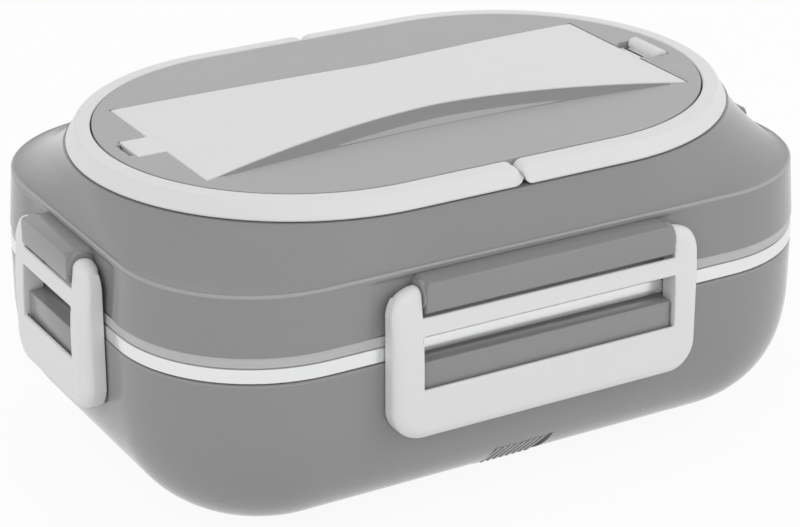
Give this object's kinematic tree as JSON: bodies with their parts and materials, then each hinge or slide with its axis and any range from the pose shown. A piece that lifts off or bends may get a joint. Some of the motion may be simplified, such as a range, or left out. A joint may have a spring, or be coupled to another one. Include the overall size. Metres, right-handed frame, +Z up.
{
  "type": "electric lunch box",
  "caption": "Rounded oblong electric lunch box with a heated base, lift-out steel container, clamped lid, swing-up ring handle and cutlery bay.",
  "frame": {"origin": "middle of the standing plane, under the middle of the case", "axes": "+X along the case towards the hinged end of the cutlery cover, +Y across it to the rear wall with the power inlet, +Z up"},
  "size_m": [0.2426, 0.1746, 0.1091],
  "materials": {
    "case_plastic": "smooth moulded, semi-gloss",
    "plate_plastic": "smooth moulded, satin",
    "pale_plastic": "smooth moulded, semi-gloss",
    "lip_plastic": "moulded, satin",
    "tray_plastic": "smooth moulded",
    "liner_plastic": "moulded, matt",
    "grille_plastic": "fine ribs, matt",
    "black_plastic": "moulded, matt",
    "lens_plastic": "tinted, polished",
    "container_steel": "polished stainless",
    "divider_steel": "polished stainless",
    "fastener_steel": "plated",
    "clamp_steel": "plain strip",
    "heat_plate_metal": "rolled, plain",
    "heater_ceramic": "fired, matt",
    "fuse_ceramic": "glazed",
    "insulation_felt": "fibre felt",
    "wire_sleeve": "silicone sleeve",
    "contact_brass": "turned",
    "foot_rubber": "soft, matt",
    "flap_rubber": "soft, matt",
    "seal_silicone": "soft, translucent white"
  },
  "bodies": {
    "base": {"base_shell": "case_plastic", "well_liner": "liner_plastic", "heating_plate": "heat_plate_metal", "heater_element": "heater_ceramic", "heater_clamp": "clamp_steel", "insulation_pad": "insulation_felt", "thermostat": "black_plastic", "thermal_fuse": "fuse_ceramic", "wiring": "wire_sleeve", "power_inlet": "black_plastic", "inlet_housing": "black_plastic", "inlet_pins": "contact_brass", "indicator_lens": "lens_plastic", "front_grille": "grille_plastic", "rubber_feet": "foot_rubber", "base_screws": "fastener_steel", "heat_screws": "fastener_steel", "flap_pin": "fastener_steel"},
    "container": {"food_container": "container_steel", "container_divider": "divider_steel"},
    "lid": {"lid_shell": "case_plastic", "inner_lid": "lip_plastic", "lid_seal": "seal_silicone", "top_plate": "plate_plastic", "cutlery_tray": "tray_plastic", "trim_screws": "fastener_steel", "lid_screws": "fastener_steel", "handle_pins": "fastener_steel", "cover_pin": "fastener_steel", "latch_pins_long": "fastener_steel", "latch_pins_short": "fastener_steel"},
    "cutlery_cover": {"cutlery_cover": "pale_plastic"},
    "handle_left": {"handle_left": "pale_plastic"},
    "handle_right": {"handle_right": "pale_plastic"},
    "latch_front": {"latch_front": "pale_plastic"},
    "latch_rear": {"latch_rear": "pale_plastic"},
    "latch_left": {"latch_left": "pale_plastic"},
    "latch_right": {"latch_right": "pale_plastic"},
    "inlet_flap": {"inlet_flap": "flap_rubber"}
  },
  "joints": [
    {"name": "lid_lift", "type": "slide", "parent": "base", "child": "lid", "axis": [0, 0, 1], "range_m": [0, 0.075]},
    {"name": "container_lift", "type": "slide", "parent": "base", "child": "container", "axis": [0, 0, 1], "range_m": [0, 0.045]},
    {"name": "latch_front_hinge", "type": "hinge", "parent": "lid", "child": "latch_front", "pos_m": [0, -0.0825, 0.0795], "axis": [-1, 0, 0], "range_deg": [0, 120]},
    {"name": "latch_rear_hinge", "type": "hinge", "parent": "lid", "child": "latch_rear", "pos_m": [0, 0.0825, 0.0795], "axis": [1, 0, 0], "range_deg": [0, 120]},
    {"name": "latch_left_hinge", "type": "hinge", "parent": "lid", "child": "latch_left", "pos_m": [-0.1165, 0, 0.0795], "axis": [0, 1, 0], "range_deg": [0, 120]},
    {"name": "latch_right_hinge", "type": "hinge", "parent": "lid", "child": "latch_right", "pos_m": [0.1165, 0, 0.0795], "axis": [0, -1, 0], "range_deg": [0, 120]},
    {"name": "handle_left_pivot", "type": "hinge", "parent": "lid", "child": "handle_left", "pos_m": [-0.00315, 0, 0.1023], "axis": [0, 1, 0], "range_deg": [0, 90]},
    {"name": "handle_right_pivot", "type": "hinge", "parent": "lid", "child": "handle_right", "pos_m": [0.00315, 0, 0.1023], "axis": [0, -1, 0], "range_deg": [0, 90]},
    {"name": "cover_hinge", "type": "hinge", "parent": "lid", "child": "cutlery_cover", "pos_m": [0.0919, 0, 0.1038], "axis": [0, 1, 0], "range_deg": [0, 110]},
    {"name": "flap_hinge", "type": "hinge", "parent": "base", "child": "inlet_flap", "pos_m": [0, 0.0688, 0.0154], "axis": [1, 0, 0], "range_deg": [0, 130]}
  ],
  "couplings": [
    {"joint": "latch_front_hinge", "follows": "lid_lift", "rad_per_m": 27.92},
    {"joint": "latch_rear_hinge", "follows": "lid_lift", "rad_per_m": 27.92},
    {"joint": "latch_left_hinge", "follows": "lid_lift", "rad_per_m": 27.92},
    {"joint": "latch_right_hinge", "follows": "lid_lift", "rad_per_m": 27.92},
    {"joint": "container_lift", "follows": "lid_lift", "ratio": 0.6}
  ]
}
